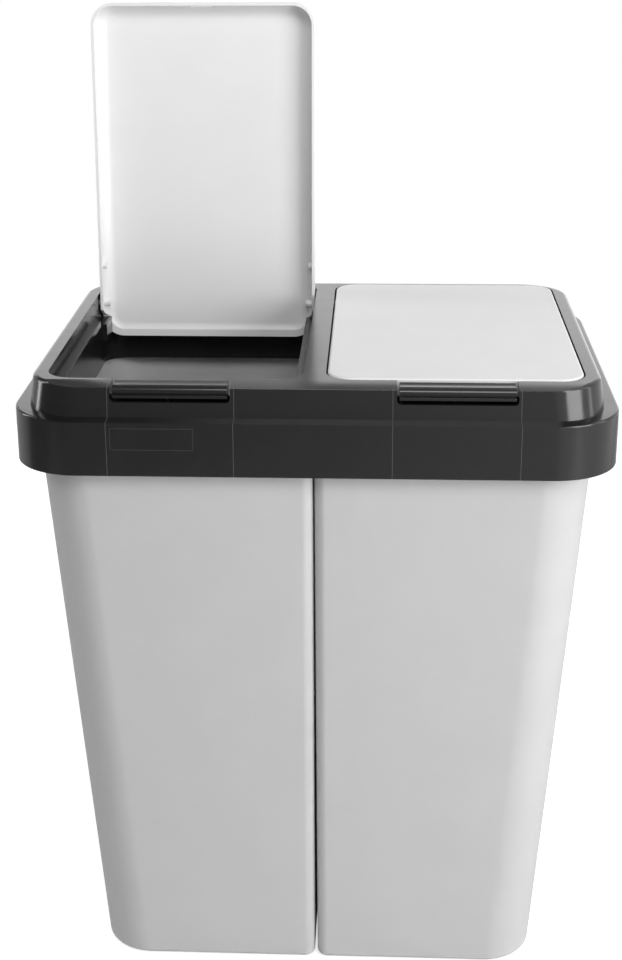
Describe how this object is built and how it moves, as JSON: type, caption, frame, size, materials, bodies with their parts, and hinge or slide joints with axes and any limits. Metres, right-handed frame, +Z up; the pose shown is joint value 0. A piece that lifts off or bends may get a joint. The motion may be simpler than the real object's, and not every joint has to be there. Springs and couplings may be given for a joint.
{
  "type": "double recycling bin",
  "caption": "Free-standing twin waste bin: two tapered tubs side by side under one dark collar with two rear-hinged flaps and sprung push latches.",
  "frame": {"origin": "on the floor under the middle of the collar", "axes": "+Z up, -Y towards the front with the latches, +X to the viewer's right when facing the front"},
  "size_m": [0.43, 0.324, 0.7235],
  "materials": {
    "pale_shell": "light grey moulded polypropylene, fine matte texture",
    "pale_flap": "light grey moulded polypropylene, satin",
    "dark_collar": "anthracite moulded polypropylene, satin",
    "latch": "anthracite moulded polypropylene, satin",
    "spring_wire": "zinc-plated spring wire"
  },
  "bodies": {
    "tubs": {"left_tub": "pale_shell", "right_tub": "pale_shell"},
    "collar": {"collar": "dark_collar", "left_latch_spring": "spring_wire", "right_latch_spring": "spring_wire"},
    "left_flap": {"left_flap": "pale_flap"},
    "right_flap": {"right_flap": "pale_flap"},
    "left_latch": {"left_latch": "latch"},
    "right_latch": {"right_latch": "latch"}
  },
  "joints": [
    {"name": "collar_lift", "type": "slide", "parent": "tubs", "child": "collar", "axis": [0, 0, 1], "range_m": [0, 0.07]},
    {"name": "left_flap_hinge", "type": "hinge", "parent": "collar", "child": "left_flap", "pos_m": [-0.0993, 0.115, 0.478], "axis": [-1, 0, 0], "range_deg": [-93.25, 0]},
    {"name": "right_flap_hinge", "type": "hinge", "parent": "collar", "child": "right_flap", "pos_m": [0.0993, 0.115, 0.478], "axis": [-1, 0, 0], "range_deg": [0, 93.25]},
    {"name": "left_latch_press", "type": "hinge", "parent": "collar", "child": "left_latch", "pos_m": [-0.0999, -0.14, 0.47], "axis": [1, 0, 0], "range_deg": [0, 10], "stiffness_Nm_per_rad": 0.15, "springref_deg": -11.46, "deforming": ["left_latch_spring"]},
    {"name": "right_latch_press", "type": "hinge", "parent": "collar", "child": "right_latch", "pos_m": [0.0999, -0.14, 0.47], "axis": [1, 0, 0], "range_deg": [0, 10], "stiffness_Nm_per_rad": 0.15, "springref_deg": -11.46, "deforming": ["right_latch_spring"]}
  ]
}
